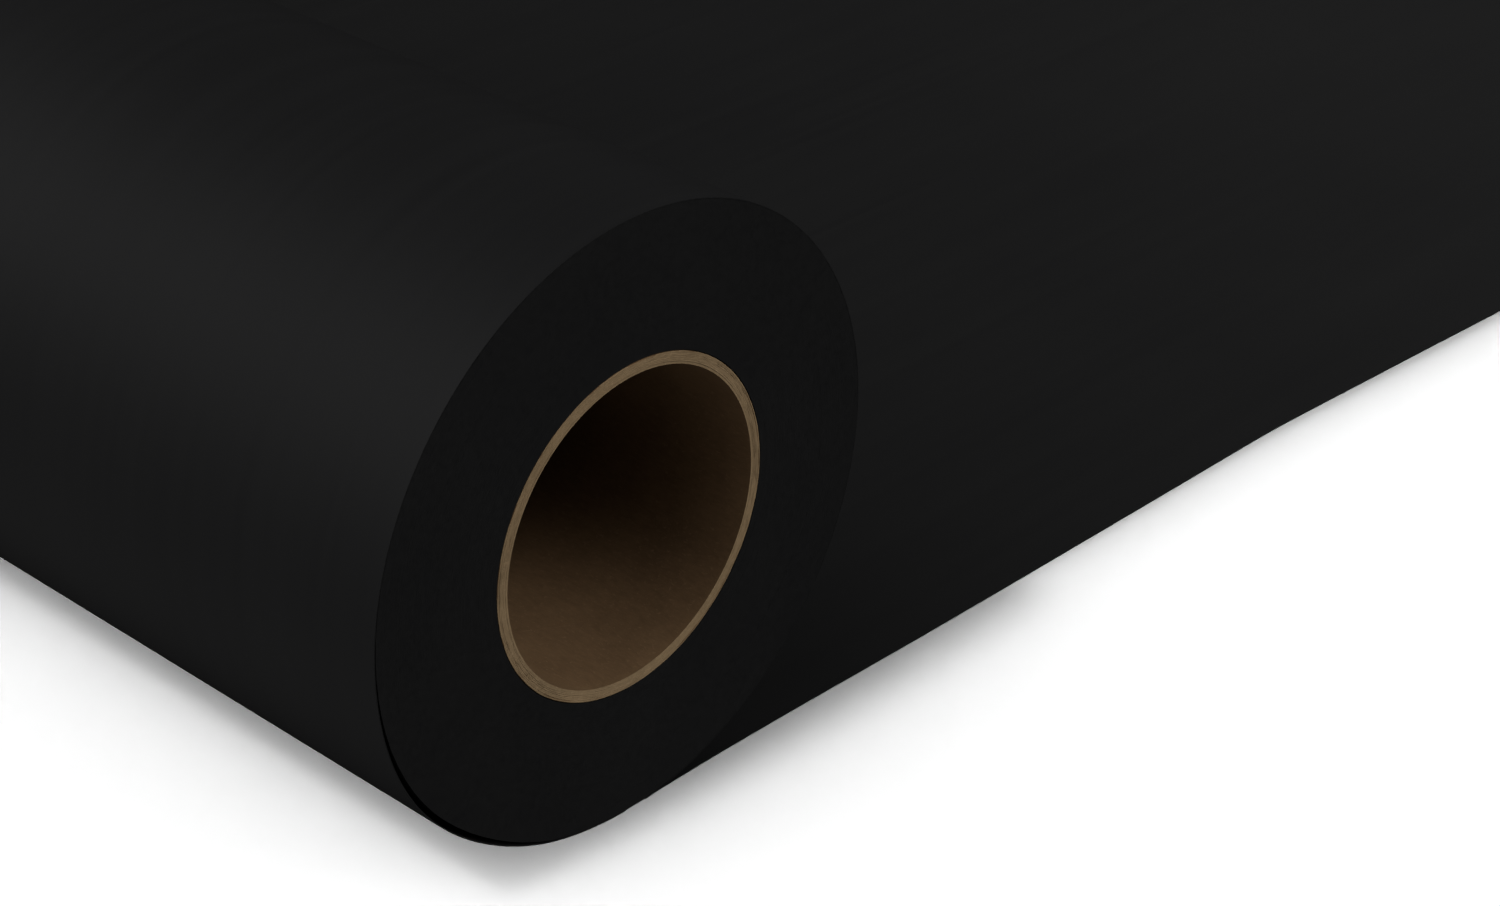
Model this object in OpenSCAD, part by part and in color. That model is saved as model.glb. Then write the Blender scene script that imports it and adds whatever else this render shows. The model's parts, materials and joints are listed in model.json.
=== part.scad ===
// Roll of sign vinyl on a paper core, lying on its side with its web laid out flat.
// The roll's axis is Y, the web runs out towards +X, and the origin is the middle of the core.
// The web is three layers: a face film, its adhesive and a release liner. The film is outermost
// on the roll, so on the laid web it is underneath and the liner is on top.

/* [Core] */
// Bore of the paper core, the trade's three inch size
core_bore_d = 76.2; // [50:0.1:155]
// Thickness of the core's wall
core_wall = 3; // [2:0.1:12]
// Thickness of the smooth ply on each side of the core's wall
face_ply_t = 0.5; // [0.3:0.1:0.8]

/* [Web] */
// Width of the web, and length of the core
web_w = 610; // [300:10:1600]
// Thickness of the face film
film_t = 0.08; // [0.05:0.01:0.15]
// Thickness of the adhesive
adhesive_t = 0.03; // [0.02:0.01:0.05]
// Thickness of the release liner
liner_t = 0.14; // [0.08:0.01:0.2]

/* [Roll] */
// Diameter over the outermost turn, where it lies tight
roll_d = 150.6; // [120:0.1:260]
// How far the outermost turn stands off the pack where it is loosest
slack = 1.1; // [0:0.1:2]
// Where it is loosest, in degrees up from the floor on the side away from the laid web
slack_at = 56; // [40:1:90]
// Spread of the slack around the roll, in degrees
slack_spread = 20; // [10:1:30]
// How far round the roll the outermost turn goes before it joins the pack, in degrees
turn_sweep = 352; // [300:1:354]

/* [Laid web] */
// Length laid out on the floor beyond the point where the web leaves the roll
laid_l = 650; // [100:10:1500]
// Length of the laid web that the roll stands on, behind that point
foot_l = 8; // [0:1:10]

/* [Start tape] */
// Width of the tape that holds the start of the web, around the core
tape_w = 25; // [12:1:50]
// Thickness of the tape
tape_t = 0.2; // [0.1:0.05:0.3]

/* [Clearance] */
// Gap between bodies that move past each other
run_gap = 0.3; // [0.2:0.05:0.5]

/* [Hidden] */
$fn = 180;
bore_r = core_bore_d / 2;
core_r = bore_r + core_wall;
web_t = film_t + adhesive_t + liner_t;
roll_r = roll_d / 2;
pack_r = roll_r - web_t - run_gap;
floor_z = -(roll_r + run_gap + web_t);
tape_l = web_w - 10;
tape_steps = 12;
turn_step = 2;

// How far the outermost turn stands proud of roll_r, at an angle round from the floor
function slack_of(angle) = slack * exp(-pow((angle - slack_at) / slack_spread, 2));

// A point of the roll's cross section: the angle starts at the floor and goes up away from
// the laid web, over the top and down again
function around(angle, r) = [-r * sin(angle), -r * cos(angle)];

// One side of the outermost turn, a depth in from its outer face
function turn_side(depth) =
    [for (a = [0 : turn_step : turn_sweep]) around(a, roll_r + slack_of(a) - depth)];

function reversed(points) = [for (i = [len(points) - 1 : -1 : 0]) points[i]];

// An outline in the roll's cross section, run along the roll's axis
module along_axis(length) {
    rotate([90, 0, 0]) linear_extrude(length, center = true) children();
}

module tube(inner_r, outer_r) {
    along_axis(web_w) difference() {
        circle(outer_r);
        circle(inner_r);
    }
}

// A layer of the outermost turn, from a depth in from the turn's outer face
module turn_layer(depth, t) {
    along_axis(web_w) polygon(concat(turn_side(depth), reversed(turn_side(depth + t))));
}

// A layer of the laid web, from a height above the floor
module laid_layer(height, t) {
    translate([-foot_l, -web_w / 2, floor_z + height]) cube([foot_l + laid_l, web_w, t]);
}

module core_inner_ply() {
    color("tan") tube(bore_r, bore_r + face_ply_t);
}

module core_board_plies() {
    color("burlywood") tube(bore_r + face_ply_t, core_r - face_ply_t);
}

module core_outer_ply() {
    color("tan") tube(core_r - face_ply_t, core_r);
}

// A strip along the core, curved to its outer ply, with flats that clear the ply
module start_tape() {
    sweep = tape_w / core_r * 180 / PI;
    step = sweep / tape_steps;
    inner_r = core_r / cos(step / 2);
    inner = [for (a = [0 : step : sweep]) around(a, inner_r)];
    outer = [for (a = [0 : step : sweep]) around(a, core_r + tape_t)];
    color("khaki") along_axis(tape_l) polygon(concat(inner, reversed(outer)));
}

module wound_turns() {
    color("dimgray") tube(core_r + tape_t, pack_r);
}

module turn_liner() {
    color("black") turn_layer(film_t + adhesive_t, liner_t);
}

module turn_adhesive() {
    color("gray") turn_layer(film_t, adhesive_t);
}

module turn_film() {
    color("black") turn_layer(0, film_t);
}

module laid_liner() {
    color("black") laid_layer(film_t + adhesive_t, liner_t);
}

module laid_adhesive() {
    color("gray") laid_layer(film_t, adhesive_t);
}

module laid_film() {
    color("black") laid_layer(0, film_t);
}

core_inner_ply();
core_board_plies();
core_outer_ply();
start_tape();
wound_turns();
turn_liner();
turn_adhesive();
turn_film();
laid_liner();
laid_adhesive();
laid_film();
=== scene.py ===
"""The looks of a roll of sign vinyl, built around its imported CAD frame. Lengths are in metres."""

import json
import math

import bpy
import numpy as np
from mathutils import Matrix, Vector


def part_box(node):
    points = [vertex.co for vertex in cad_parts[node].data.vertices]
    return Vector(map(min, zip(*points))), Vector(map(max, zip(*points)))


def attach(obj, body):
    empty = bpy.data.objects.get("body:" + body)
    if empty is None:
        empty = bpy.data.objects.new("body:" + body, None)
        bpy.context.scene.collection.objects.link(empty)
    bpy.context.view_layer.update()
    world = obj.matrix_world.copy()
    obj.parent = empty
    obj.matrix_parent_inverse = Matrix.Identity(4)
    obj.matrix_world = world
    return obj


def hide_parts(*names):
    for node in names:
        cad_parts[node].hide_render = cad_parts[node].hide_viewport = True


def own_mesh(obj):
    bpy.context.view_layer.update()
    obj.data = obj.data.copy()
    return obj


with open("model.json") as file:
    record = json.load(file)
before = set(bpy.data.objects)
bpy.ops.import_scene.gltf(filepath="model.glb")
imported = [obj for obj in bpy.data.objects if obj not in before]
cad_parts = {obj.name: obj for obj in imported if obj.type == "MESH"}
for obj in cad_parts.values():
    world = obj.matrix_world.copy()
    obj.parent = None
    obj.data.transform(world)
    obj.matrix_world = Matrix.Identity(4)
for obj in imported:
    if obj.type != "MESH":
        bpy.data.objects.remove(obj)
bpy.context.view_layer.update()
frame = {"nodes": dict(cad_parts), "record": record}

MM = 0.001

# ---------------------------------------------------------------- places, from the frame

FLOOR_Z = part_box("laid_film")[0].z
FAR_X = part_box("laid_film")[1].x
NEAR_Y, FAR_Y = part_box("wound_turns")[0].y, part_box("wound_turns")[1].y
WIDTH = FAR_Y - NEAR_Y
TURN_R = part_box("turn_film")[1].z
CORE_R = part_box("core_outer_ply")[1].z
BOARD_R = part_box("core_board_plies")[1].z
INNER_PLY_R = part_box("core_inner_ply")[1].z
BORE_R = next(m["dims"]["r_mm"] for m in frame["record"]["mounts"] if m["name"] == "core_bore") * MM
AXIS_HEIGHT = -FLOOR_Z


def thickness(node):
    """How thick a layer of the laid web is."""
    low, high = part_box(node)
    return high.z - low.z


FILM_T, ADHESIVE_T, LINER_T = (thickness(n) for n in ("laid_film", "laid_adhesive", "laid_liner"))
WEB_T = FILM_T + ADHESIVE_T + LINER_T

# ---------------------------------------------------------------- meshes


def smoothstep(low, high, value):
    """0 below low, 1 above high, and an eased rise between."""
    t = np.clip((value - low) / (high - low), 0, 1)
    return t * t * (3 - 2 * t)


def bell(value, middle, spread):
    """1 at the middle, and an even fall to nothing on both sides of it."""
    return np.exp(-(((value - middle) / spread) ** 2))


def add_mesh(name, points, faces, sharp_degrees=40):
    """A smooth-shaded object, with its edges sharper than sharp_degrees left crisp."""
    mesh = bpy.data.meshes.new(name)
    mesh.from_pydata(np.asarray(points).tolist(), [], faces)
    mesh.polygons.foreach_set("use_smooth", np.ones(len(mesh.polygons), bool))
    mesh.set_sharp_from_angle(angle=math.radians(sharp_degrees))
    mesh.update()
    piece = bpy.data.objects.new(name, mesh)
    bpy.context.scene.collection.objects.link(piece)
    return piece


def loop_quads(rows, columns, close_rows):
    """The quads of a grid of points whose columns join up, and its rows too if close_rows."""
    i, j = np.meshgrid(np.arange(rows if close_rows else rows - 1), np.arange(columns), indexing="ij")
    next_i, next_j = (i + 1) % rows, (j + 1) % columns
    corners = [i * columns + j, next_i * columns + j, next_i * columns + next_j, i * columns + next_j]
    return np.stack(corners, -1).reshape(-1, 4).tolist()


def sheet_solid(name, upper, lower):
    """A thin closed sheet between two grids of points, lower one under upper one."""
    rows, columns = upper.shape[:2]
    top = np.arange(rows * columns).reshape(rows, columns)
    bottom = top + rows * columns
    quads = [np.stack([top[:-1, :-1], top[1:, :-1], top[1:, 1:], top[:-1, 1:]], -1),
             np.stack([bottom[:-1, :-1], bottom[:-1, 1:], bottom[1:, 1:], bottom[1:, :-1]], -1)]
    for edge, under in ((top[:, 0], bottom[:, 0]), (top[-1, :], bottom[-1, :]),
                        (top[::-1, -1], bottom[::-1, -1]), (top[0, ::-1], bottom[0, ::-1])):
        quads.append(np.stack([edge[:-1], under[:-1], under[1:], edge[1:]], -1))
    faces = np.concatenate([q.reshape(-1, 4) for q in quads]).tolist()
    return add_mesh(name, np.concatenate([upper.reshape(-1, 3), lower.reshape(-1, 3)]), faces)


def around(angle, radius, y):
    """Points round the roll's axis. The angle is in degrees from the floor, and goes up the side
    away from the laid web."""
    a = np.radians(angle)
    return np.stack(np.broadcast_arrays(-radius * np.sin(a), y, -radius * np.cos(a)), -1)


def ring_solid(name, section, columns, twist, ripple):
    """A closed ring round the axis with a section of (radius, y) points. Columns turn by twist degrees
    per metre along the axis, and ripple(point number, angle) adds to each point's (radius, y)."""
    radius, y = np.array(section).T[:, :, None]
    angle = np.asarray(columns, float)[None, :]
    number = np.arange(len(section))[:, None]
    more_r, more_y = ripple(number, angle)
    points = around(angle + twist * y, radius + more_r, y + more_y)
    return add_mesh(name, points.reshape(-1, 3), loop_quads(len(section), len(columns), True))


def set_materials(piece, material, cut_material):
    """One material all over but for the faces that the slitting knife or the saw left."""
    piece.data.materials.append(material)
    piece.data.materials.append(cut_material)
    for face in piece.data.polygons:
        face.material_index = int(abs(face.normal.y) > 0.8)


# ---------------------------------------------------------------- materials

ONE_NOISE = (0.3, 0.7)  # where most of the values of one noise lie, and of two noises added
TWO_NOISES = (0.7, 1.3)


class Finish:
    """A material, and short calls that add linked nodes to it."""

    def __init__(self, name, colour, roughness, specular):
        self.material = bpy.data.materials.new(name)
        self.material.use_nodes = True
        self.tree = self.material.node_tree
        self.shader = self.tree.nodes["Principled BSDF"]
        self.place = self.tree.nodes.new("ShaderNodeTexCoord").outputs["Object"]
        self.shader.inputs["Base Color"].default_value = (*colour, 1)
        self.shader.inputs["Roughness"].default_value = roughness
        self.shader.inputs["Specular IOR Level"].default_value = specular

    def add(self, kind, links, **settings):
        """A node, with its input sockets linked or set from links."""
        node = self.tree.nodes.new(kind)
        for key, value in settings.items():
            setattr(node, key, value)
        for socket, value in links.items():
            if isinstance(value, bpy.types.NodeSocket):
                self.tree.links.new(value, node.inputs[socket])
            else:
                node.inputs[socket].default_value = value
        return node

    def noise(self, scale, stretch=(1, 1, 1), detail=3.0, roughness=0.5):
        """Noise with scale features a metre, times stretch along each axis."""
        place = self.add("ShaderNodeVectorMath", {0: self.place, 1: stretch}, operation="MULTIPLY")
        links = {"Vector": place.outputs[0], "Scale": scale, "Detail": detail, "Roughness": roughness}
        return self.add("ShaderNodeTexNoise", links).outputs["Fac"]

    def spread(self, value, low, high, span=ONE_NOISE):
        """value, with span made into low to high."""
        links = {"Value": value, "From Min": span[0], "From Max": span[1], "To Min": low, "To Max": high}
        return self.add("ShaderNodeMapRange", links).outputs["Result"]

    def sum(self, *values):
        total = values[0]
        for value in values[1:]:
            total = self.add("ShaderNodeMath", {0: total, 1: value}, operation="ADD").outputs[0]
        return total

    def times(self, a, b):
        return self.add("ShaderNodeMath", {0: a, 1: b}, operation="MULTIPLY").outputs[0]

    def mix(self, factor, a, b):
        """Colour a where factor is 0, and b where it is 1."""
        node = self.add("ShaderNodeMix", {}, data_type="RGBA")
        self.tree.links.new(factor, node.inputs["Factor"])
        for socket, colour in ((node.inputs[6], a), (node.inputs[7], b)):
            if isinstance(colour, bpy.types.NodeSocket):
                self.tree.links.new(colour, socket)
            else:
                socket.default_value = (*colour, 1)
        return node.outputs[2]

    def use(self, colour, roughness):
        """The surface's colour and roughness, from nodes."""
        self.tree.links.new(colour, self.shader.inputs["Base Color"])
        self.tree.links.new(roughness, self.shader.inputs["Roughness"])

    def bump(self, height, distance):
        node = self.add("ShaderNodeBump", {"Height": height, "Distance": distance})
        self.tree.links.new(node.outputs["Normal"], self.shader.inputs["Normal"])


PEEL_HEIGHT = 0.008 * MM
SLIT_HEIGHT = 0.008 * MM
BEAD_HEIGHT = 0.01 * MM
FIBRE_HEIGHT = 0.05 * MM


def satin_web(name, colour, dusty_colour, roughness, specular):
    """Black calendered film or coated liner, with streaks along the web, a fine peel and an uneven sheen."""
    finish = Finish(name, colour, roughness, specular)
    streaks = finish.noise(1, (5, 260, 5), detail=4)
    cloud = finish.noise(9, detail=2)
    grain = finish.noise(2600, detail=1)
    peel = finish.noise(420, detail=2)
    tone = finish.spread(finish.sum(streaks, cloud), 0, 1, TWO_NOISES)
    sheen = finish.spread(finish.sum(streaks, grain), roughness - 0.02, roughness + 0.03, TWO_NOISES)
    finish.use(finish.mix(tone, colour, dusty_colour), sheen)
    height = finish.sum(finish.times(peel, 0.7), finish.times(grain, 0.3), finish.times(streaks, 0.4))
    finish.bump(height, PEEL_HEIGHT)
    return finish.material


def turn_edge_material():
    """The slit edges of the wound web: film and liner edges in fine uneven rings, dull and dark."""
    dark, light = (0.0036, 0.0036, 0.0037), (0.0044, 0.0044, 0.0044)
    finish = Finish("turn_edges", dark, 0.62, 0.07)
    slit = finish.noise(900, detail=3, roughness=0.6)
    cloud = finish.noise(30, detail=2)
    tone = finish.spread(finish.sum(slit, cloud), 0, 1, TWO_NOISES)
    finish.use(finish.mix(tone, dark, light), finish.spread(slit, 0.55, 0.75))
    finish.bump(slit, SLIT_HEIGHT)
    return finish.material


def adhesive_material():
    """The thin line of clear acrylic adhesive between film and liner."""
    dark, light = (0.012, 0.012, 0.013), (0.03, 0.03, 0.032)
    finish = Finish("adhesive", dark, 0.25, 0.3)
    beads = finish.noise(1500, detail=2)
    finish.use(finish.mix(finish.spread(beads, 0, 1), dark, light), finish.spread(beads, 0.2, 0.4))
    finish.bump(beads, BEAD_HEIGHT)
    return finish.material


def paper_material(name, dark, light, fleck, along=1.0):
    """Brown paper board with fibres, pale flecks and a cloudy tone. An along under 1 draws the fibres
    out along the core."""
    finish = Finish(name, light, 0.85, 0.05)
    cloud = finish.noise(60, detail=4)
    fibres = finish.noise(1, (900, 900 * along, 900), detail=4, roughness=0.65)
    flecks = finish.noise(1, (1500, 700, 1500), detail=2, roughness=0.7)
    tone = finish.spread(finish.sum(cloud, fibres), 0, 1, (0.75, 1.25))
    board = finish.mix(tone, dark, light)
    flecked = finish.mix(finish.spread(flecks, 0, 0.8, (0.58, 0.72)), board, fleck)
    finish.use(flecked, finish.spread(fibres, 0.75, 0.95))
    finish.bump(finish.sum(fibres, finish.times(flecks, 0.5)), FIBRE_HEIGHT)
    return finish.material


# ---------------------------------------------------------------- the laid web

NEAR_DRIFT = 1.3 * MM  # how far the web wanders along Y where it leaves the roll
NEAR_DRIFT_AT, NEAR_DRIFT_SPREAD = 35 * MM, 60 * MM
LIFTED_DRIFT = -2.9 * MM  # and how far once it has lifted
SKEW_SLOPE = 0.053  # slope of the slanted stretch of its edges
SKEW_FROM, SKEW_TO = 0.262, 0.400
SKEW_CORNER = 6 * MM
SETTLED_TO, LIFTED_FROM = 0.05, 0.35  # flat on the floor up to the first, and fully lifted from the second
EDGE_LIFT, EDGE_LIFT_WIDTH = 2.0 * MM, 22 * MM
WAVE_LIFT = 0.30 * MM
WAVES = ((31, 9, 0.6), (13, -23, 2.1))  # radians a metre along X and Y, and the phase
END_CURL, END_CURL_LENGTH = 1.5 * MM, 70 * MM
FINE_TO = 0.06  # how far out from the roll the mesh is fine
FINE_ROWS, PLAIN_ROWS, LAID_COLUMNS = 25, 140, 75


def ramp(x, start):
    """0 before start and x - start after it, with a rounded corner."""
    return SKEW_CORNER * np.logaddexp(0, (x - start) / SKEW_CORNER)


def web_drift(x):
    """How far the laid web wanders along Y from the roll's own ends."""
    near = NEAR_DRIFT * bell(x, NEAR_DRIFT_AT, NEAR_DRIFT_SPREAD)
    lifted = LIFTED_DRIFT * smoothstep(SETTLED_TO, LIFTED_FROM, x)
    return near + lifted - SKEW_SLOPE * (ramp(x, SKEW_FROM) - ramp(x, SKEW_TO))


def web_lift(x, y):
    """How far the laid web stands off the floor: faint waves, lifted edges and a curled free end."""
    from_edge = np.minimum(y - NEAR_Y, FAR_Y - y)
    lifted = smoothstep(SETTLED_TO, LIFTED_FROM, x)
    waves = sum(1 + np.sin(x * along + y * across + phase) for along, across, phase in WAVES) / 4
    edge = EDGE_LIFT * bell(from_edge, 0, EDGE_LIFT_WIDTH)
    curl = END_CURL * np.clip((x - FAR_X + END_CURL_LENGTH) / END_CURL_LENGTH, 0, 1) ** 2
    return lifted * (WAVE_LIFT * waves + edge) + curl


def laid_layer(name, node, height, thick, material):
    """One layer of the laid web, from a height above the web's underside."""
    x = np.concatenate([np.linspace(0, FINE_TO, FINE_ROWS)[:-1], np.linspace(FINE_TO, FAR_X, PLAIN_ROWS)])
    y = NEAR_Y + WIDTH * (1 - np.cos(np.linspace(0, math.pi, LAID_COLUMNS))) / 2
    grid_x, grid_y = np.meshgrid(x, y, indexing="ij")
    base = FLOOR_Z + height + web_lift(grid_x, grid_y)
    drifted = grid_y + web_drift(grid_x)
    upper = np.stack([grid_x, drifted, base + thick], -1)
    lower = np.stack([grid_x, drifted, base], -1)
    piece = sheet_solid(name, upper, lower)
    piece.data.materials.append(material)
    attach(piece, "laid_web")
    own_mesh(piece)
    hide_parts(node)


# ---------------------------------------------------------------- the loose outer turn

SLACK = 1.15 * MM
FAR_SLACK_LOSS = 0.25  # the part of the slack that is gone from halfway along the roll
SLACK_AT, SLACK_SPREAD = 58, 21  # degrees round from the floor
SETTLE_ANGLE = 12
TURN_END = 355
TURN_RIPPLE = 0.02 * MM
DRIFT_GONE_BY = 25  # degrees round by which the turn is in line with the roll's ends
TURN_ROWS, TURN_COLUMNS = 237, 25


def turn_radius(angle, y):
    """The outer face of the outermost turn: it leaves the floor, stands off the pack, and closes on it."""
    from_near = (y - NEAR_Y) / WIDTH
    share = 1 - FAR_SLACK_LOSS * smoothstep(0, 0.5, from_near)
    slack = SLACK * share * bell(angle, SLACK_AT, SLACK_SPREAD)
    touch_down = (AXIS_HEIGHT - TURN_R) * bell(angle, 0, SETTLE_ANGLE)
    ripple = TURN_RIPPLE * np.sin(np.radians(angle * 7) + y * 11) * smoothstep(20, 60, angle)
    return TURN_R + slack + touch_down + ripple


def turn_layer(name, node, depth, thick, material, cut_material):
    """One layer of the outermost turn, from a depth in from its outer face."""
    angle = np.linspace(0, TURN_END, TURN_ROWS)
    y = np.linspace(NEAR_Y, FAR_Y, TURN_COLUMNS)
    grid_a, grid_y = np.meshgrid(angle, y, indexing="ij")
    radius = turn_radius(grid_a, grid_y) - depth
    drifted = grid_y + web_drift(0.0) * (1 - smoothstep(0, DRIFT_GONE_BY, grid_a))
    piece = sheet_solid(name, around(grid_a, radius - thick, drifted), around(grid_a, radius, drifted))
    set_materials(piece, material, cut_material)
    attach(piece, "outer_turn")
    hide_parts(node)


# ---------------------------------------------------------------- the wound web

PACK_GAP = 0.03 * MM  # between the outermost turn and the pack
LAYER_GAP = 0.01 * MM
STATIONS_A_TURN = 96
EDGE_CROWN = 0.006 * MM  # how far the middle of the slit edge stands proud
STEP_FROM = 0.93  # the part of a turn where it starts to step in under the one before
DENT, DENT_AT, DENT_SPREAD = 0.80 * MM, 36, 17  # a flat in the pack, in degrees round from the floor
WANDER = ((0.008 * MM, 1 / 3, 3), (0.012 * MM, 6, 5), (0.03 * MM, 25, 8))  # size, turns apart and seed


def smooth_random(count, every, seed):
    """A line of count values from -1 to 1, with a new random value at every so many of them."""
    random = np.random.default_rng(seed)
    knots = random.uniform(-1, 1, count // every + 3)
    place = np.arange(count) / every
    return np.interp(place, np.arange(len(knots)), knots)


def wound_path():
    """The angle, outer radius and inner radius of the wound strip at each station, from the outside in."""
    outer_r = TURN_R - WEB_T - PACK_GAP
    turns = math.floor((outer_r - CORE_R) / WEB_T)
    station = np.arange(turns * STATIONS_A_TURN + 1)
    angle = station * 360 / STATIONS_A_TURN
    turn, part = np.divmod(station / STATIONS_A_TURN, 1)
    even = outer_r - WEB_T * (turn + smoothstep(STEP_FROM, 1, part))
    from_dent = (angle + 180 - DENT_AT) % 360 - 180
    outer = even - DENT * bell(from_dent, 0, DENT_SPREAD) * (even - CORE_R) / (outer_r - CORE_R)
    return angle, outer, outer - WEB_T + LAYER_GAP


def wound_web(material):
    """The tight turns as one strip of web, wound in from the pack's outside to the tape on the core."""
    angle, outer, inner = wound_path()
    count = len(angle)
    middle = (outer + inner) / 2
    wander = sum(size * smooth_random(count, round(turns_apart * STATIONS_A_TURN), seed)
                 for size, turns_apart, seed in WANDER)
    near, far = NEAR_Y + wander, FAR_Y + wander
    section = [(outer, near), (outer, far), (middle, far + EDGE_CROWN), (inner, far), (inner, near),
               (middle, near - EDGE_CROWN)]
    points = np.stack([around(angle, r, y) for r, y in section], 1)
    start = list(range(len(section)))
    end = [(count - 1) * len(section) + corner for corner in reversed(start)]
    faces = loop_quads(count, len(section), False) + [start, end]
    piece = add_mesh("wound_web", points.reshape(-1, 3), faces)
    piece.data.materials.append(material)
    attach(piece, "wound_roll")
    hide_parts("wound_turns")


# ---------------------------------------------------------------- the core

SEAM_LEAD = 139 * MM
SEAM_DEPTH = 0.05 * MM
SEAM_HALF_ANGLE = 0.25
BORE_ROW = 2.5 * MM
BORE_COLUMNS = 98
BOARD_PLIES = 5
RING_COLUMNS = 240
STEPS_A_PLY = 4
PLY_LINE, PLY_PROUD, CORNER_IN = -0.03 * MM, 0.02 * MM, -0.05 * MM
SAW_WAVES = ((5, 0.03 * MM), (17, 0.02 * MM), (41, 0.02 * MM))  # waves a turn, and their height


def inner_ply(material, cut_material):
    """The bore's lining: one strip of kraft paper wound in a helix, with an open butt seam and pale ends."""
    rows = round(WIDTH / BORE_ROW) + 1
    y = np.linspace(NEAR_Y, FAR_Y, rows)
    section = [(BORE_R, v) for v in y] + [(INNER_PLY_R, v) for v in y[::-1]]
    seam = [-SEAM_HALF_ANGLE, -SEAM_HALF_ANGLE / 2, SEAM_HALF_ANGLE / 2, SEAM_HALF_ANGLE]
    rest = np.linspace(SEAM_HALF_ANGLE, 360 - SEAM_HALF_ANGLE, BORE_COLUMNS)[1:-1]

    def seam_groove(number, angle):
        in_seam = (np.abs(angle) < SEAM_HALF_ANGLE * 0.9) & (number < rows)
        return np.where(in_seam, SEAM_DEPTH, 0), 0

    columns = np.concatenate([seam, rest])
    piece = ring_solid("core_inner_lining", section, columns, 360 / SEAM_LEAD, seam_groove)
    set_materials(piece, material, cut_material)
    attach(piece, "wound_roll")
    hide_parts("core_inner_ply")


def cut_end(inner_r, outer_r, plies, seed):
    """The section of a ring of plies with sawn ends, and a ripple that leaves its ends a little uneven."""
    random = np.random.default_rng(seed)
    radii = np.linspace(inner_r, outer_r, plies * STEPS_A_PLY + 1)
    proud = np.where(np.arange(len(radii)) % STEPS_A_PLY == 0, PLY_LINE, PLY_PROUD)
    proud[[0, -1]] = CORNER_IN
    section = [(r, NEAR_Y - p) for r, p in zip(radii, proud)]
    section += [(r, FAR_Y + p) for r, p in zip(radii[::-1], proud[::-1])]
    phases = random.uniform(0, 2 * math.pi, (len(section), len(SAW_WAVES)))

    def ripple(number, angle):
        saw = 0
        for wave, (turns, height) in enumerate(SAW_WAVES):
            saw = saw + height * np.sin(turns * np.radians(angle) + phases[number, wave])
        return 0, saw * np.where(number < len(radii), -1, 1)

    return section, ripple


def core_ring(name, node, inner_r, outer_r, plies, seed, material, cut_material):
    """A ring of the core's plies, from its inner radius to its outer one."""
    section, ripple = cut_end(inner_r, outer_r, plies, seed)
    piece = ring_solid(name, section, np.arange(RING_COLUMNS) * 360 / RING_COLUMNS, 0, ripple)
    set_materials(piece, material, cut_material)
    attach(piece, "wound_roll")
    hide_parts(node)


# ---------------------------------------------------------------- the camera, the floor and the light

CAMERA_FROM_END = Vector((-0.43358, -0.40337, 0.35092))  # from the axis where it meets the near end
AZIMUTH, ELEVATION, ROLL = -49.43, 29.20, 2.80
LENS = 76.09


def towards(azimuth, elevation):
    """The direction at an azimuth from +X and an elevation above the floor, in degrees."""
    a, e = math.radians(azimuth), math.radians(elevation)
    return Vector((math.cos(e) * math.cos(a), math.cos(e) * math.sin(a), math.sin(e)))


def add_camera():
    """Looks along the azimuth and down by the elevation, turned a little about its own axis."""
    a, e, r = (math.radians(v) for v in (AZIMUTH, ELEVATION, ROLL))
    back = Vector((math.sin(a) * math.cos(e), -math.cos(a) * math.cos(e), math.sin(e)))
    level = Vector((math.cos(a), math.sin(a), 0))
    upright = back.cross(level)
    right = math.cos(r) * level + math.sin(r) * upright
    up = -math.sin(r) * level + math.cos(r) * upright
    camera = bpy.data.objects.new("camera", bpy.data.cameras.new("camera"))
    camera.data.lens = LENS
    camera.data.clip_start, camera.data.clip_end = 0.01, 100
    turn = Matrix((right, up, back)).transposed().to_4x4()
    camera.matrix_world = Matrix.Translation(Vector((0, NEAR_Y, 0)) + CAMERA_FROM_END) @ turn
    bpy.context.scene.collection.objects.link(camera)
    bpy.context.scene.camera = camera


FLOOR_HALF = 30.0
FLOOR_GAP = 0.05 * MM
FLOOR_TONE = 0.205
FLOOR_GLOW = 0.085  # reach of the light that spreads inside the floor
LAMP_AZIMUTH, LAMP_ELEVATION = 175.3, 54.5
LAMP_WIDTH = 5  # degrees across, which softens its shadow
LAMP_STRENGTH = 15.5


def add_floor():
    """A plain floor of milky acrylic. Only the camera and the shadows see it: none of its light
    reaches the object."""
    finish = Finish("floor", (FLOOR_TONE,) * 3, 0.9, 0.0)
    finish.shader.subsurface_method = "BURLEY"
    finish.shader.inputs["Subsurface Weight"].default_value = 1
    finish.shader.inputs["Subsurface Radius"].default_value = (1, 1, 1)
    finish.shader.inputs["Subsurface Scale"].default_value = FLOOR_GLOW
    faint = finish.spread(finish.noise(3, detail=1), 0, 1)
    tone = finish.mix(faint, (FLOOR_TONE * 0.99,) * 3, (FLOOR_TONE * 1.01,) * 3)
    finish.tree.links.new(tone, finish.shader.inputs["Base Color"])
    z = FLOOR_Z - FLOOR_GAP
    corners = [(x * FLOOR_HALF, y * FLOOR_HALF, z) for x, y in ((-1, -1), (1, -1), (1, 1), (-1, 1))]
    floor = add_mesh("floor", corners, [[0, 1, 2, 3]])
    floor.data.materials.append(finish.material)
    floor.visible_diffuse = False
    floor.visible_glossy = False
    return floor


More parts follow.
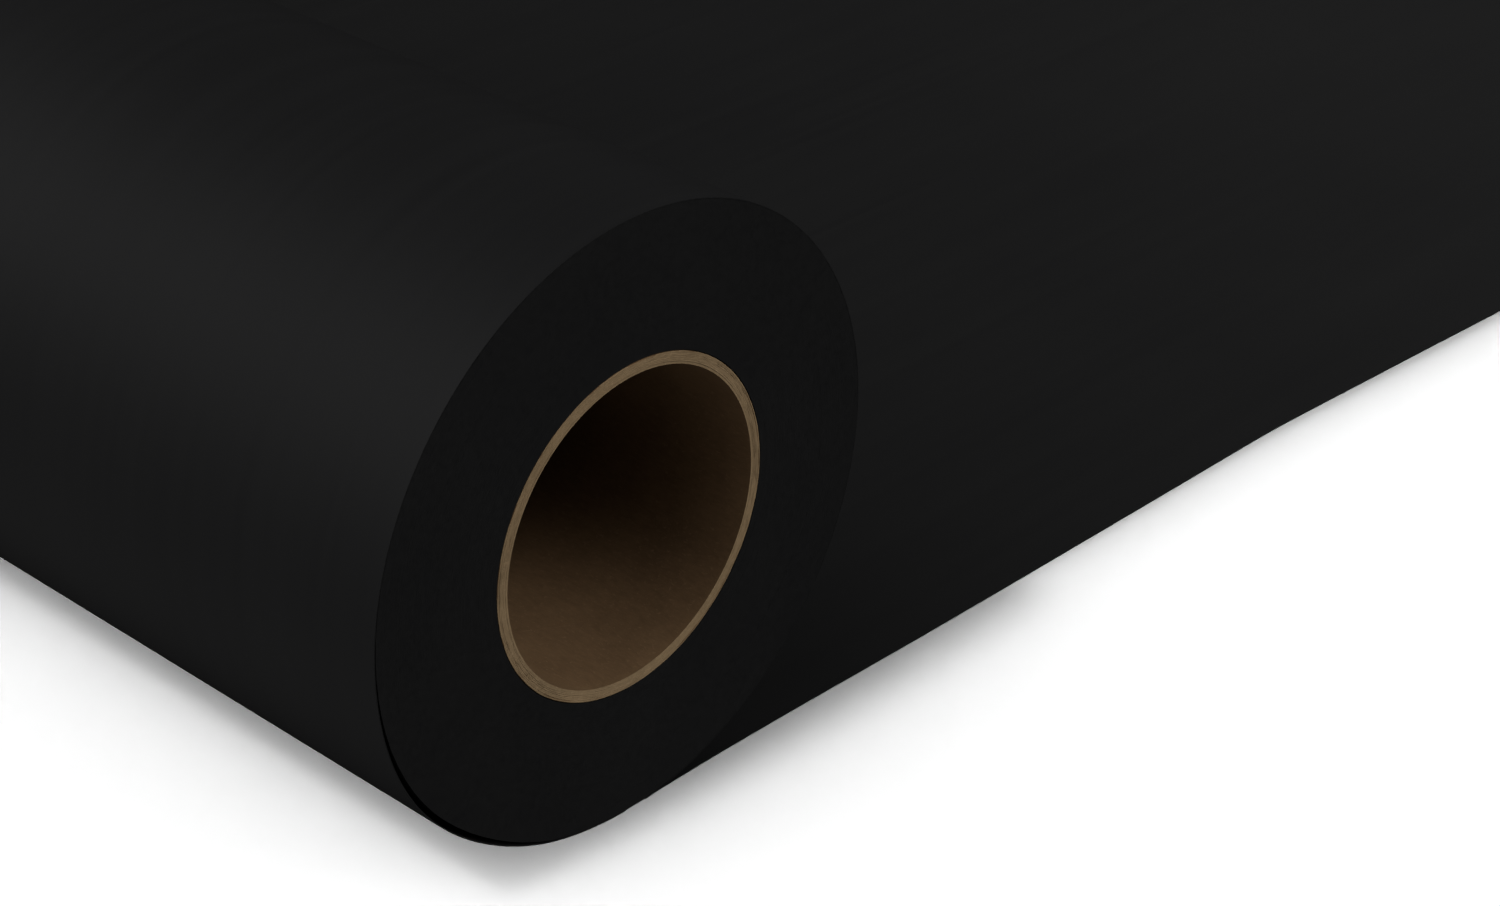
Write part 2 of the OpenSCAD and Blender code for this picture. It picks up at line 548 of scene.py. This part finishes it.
def add_floor_lamp(floor):
    """A lamp that shines on the floor alone, so the shadow is short and the object softly lit."""
    lamp = bpy.data.objects.new("floor_lamp", bpy.data.lights.new("floor_lamp", "SUN"))
    lamp.data.energy = LAMP_STRENGTH
    lamp.data.angle = math.radians(LAMP_WIDTH)
    lamp.rotation_euler = towards(LAMP_AZIMUTH, LAMP_ELEVATION).to_track_quat("Z", "Y").to_euler()
    bpy.context.scene.collection.objects.link(lamp)
    lit = bpy.data.collections.new("lit_by_floor_lamp")
    lit.objects.link(floor)
    lamp.light_linking.receiver_collection = lit


# Azimuth from +X and elevation in degrees, radiance at the middle, and how tight each panel is. Those
# below the floor stand for the light that a real floor sends back up.
PANELS = [
    (144, 44, 5.0, 8),
    (150, 25, 2.4, 8),
    (-65, 34, 15.5, 30),
    (0, 44, 0.9, 8),
    (150, -40, 0.8, 8),
    (-150, -40, 0.7, 8),
    (-100, -25, 0.35, 8),
]


def add_world():
    """A dark studio with soft-edged light panels round the object."""
    world = bpy.data.worlds.new("studio")
    world.use_nodes = True
    bpy.context.scene.world = world
    tree = world.node_tree
    way = tree.nodes.new("ShaderNodeTexCoord").outputs["Generated"]

    def add(kind, operation, *values):
        node = tree.nodes.new(kind)
        node.operation = operation
        for socket, value in zip(node.inputs, values):
            if isinstance(value, bpy.types.NodeSocket):
                tree.links.new(value, socket)
            else:
                socket.default_value = value
        return node

    total = 0.0
    for azimuth, elevation, radiance, tightness in PANELS:
        middle = towards(azimuth, elevation)
        facing = add("ShaderNodeVectorMath", "DOT_PRODUCT", way, middle).outputs["Value"]
        fade = add("ShaderNodeMath", "MULTIPLY_ADD", facing, tightness, -tightness).outputs[0]
        glow = add("ShaderNodeMath", "EXPONENT", fade).outputs[0]
        total = add("ShaderNodeMath", "MULTIPLY_ADD", glow, radiance, total).outputs[0]
    tree.links.new(total, tree.nodes["Background"].inputs["Strength"])
    tree.nodes["Background"].inputs["Color"].default_value = (1, 1, 1, 1)


# ---------------------------------------------------------------- putting it together

add_camera()
add_floor_lamp(add_floor())
add_world()
bpy.context.scene.view_settings.view_transform = "Standard"

film = satin_web("film", (0.0041, 0.0041, 0.0042), (0.0050, 0.0050, 0.0051), 0.42, 0.021)
liner = satin_web("liner", (0.0041, 0.0041, 0.0042), (0.0050, 0.0050, 0.0050), 0.44, 0.021)
adhesive = adhesive_material()
edges = turn_edge_material()
kraft = paper_material("core_paper", (0.068, 0.0405, 0.0200), (0.092, 0.055, 0.0275),
                       (0.105, 0.065, 0.034), along=0.35)
board = paper_material("core_board", (0.113, 0.078, 0.0425), (0.145, 0.100, 0.055), (0.172, 0.122, 0.070))
tape = paper_material("start_tape", (0.5, 0.4, 0.22), (0.6, 0.5, 0.3), (0.7, 0.6, 0.4))

LINER_FROM = FILM_T + ADHESIVE_T
laid_layer("laid_film_web", "laid_film", 0, FILM_T, film)
laid_layer("laid_adhesive_web", "laid_adhesive", FILM_T, ADHESIVE_T, adhesive)
laid_layer("laid_liner_web", "laid_liner", LINER_FROM, LINER_T, liner)

wound_web(edges)
turn_layer("outer_turn_film", "turn_film", 0, FILM_T, film, edges)
turn_layer("outer_turn_adhesive", "turn_adhesive", FILM_T, ADHESIVE_T, adhesive, edges)
turn_layer("outer_turn_liner", "turn_liner", LINER_FROM, LINER_T, liner, edges)

inner_ply(kraft, board)
core_ring("core_board_rings", "core_board_plies",
          INNER_PLY_R, BOARD_R, plies=BOARD_PLIES, seed=21, material=board, cut_material=board)
core_ring("core_outer_wrap", "core_outer_ply",
          BOARD_R, CORE_R, plies=1, seed=22, material=kraft, cut_material=board)
frame["nodes"]["start_tape"].data.materials.clear()
frame["nodes"]["start_tape"].data.materials.append(tape)
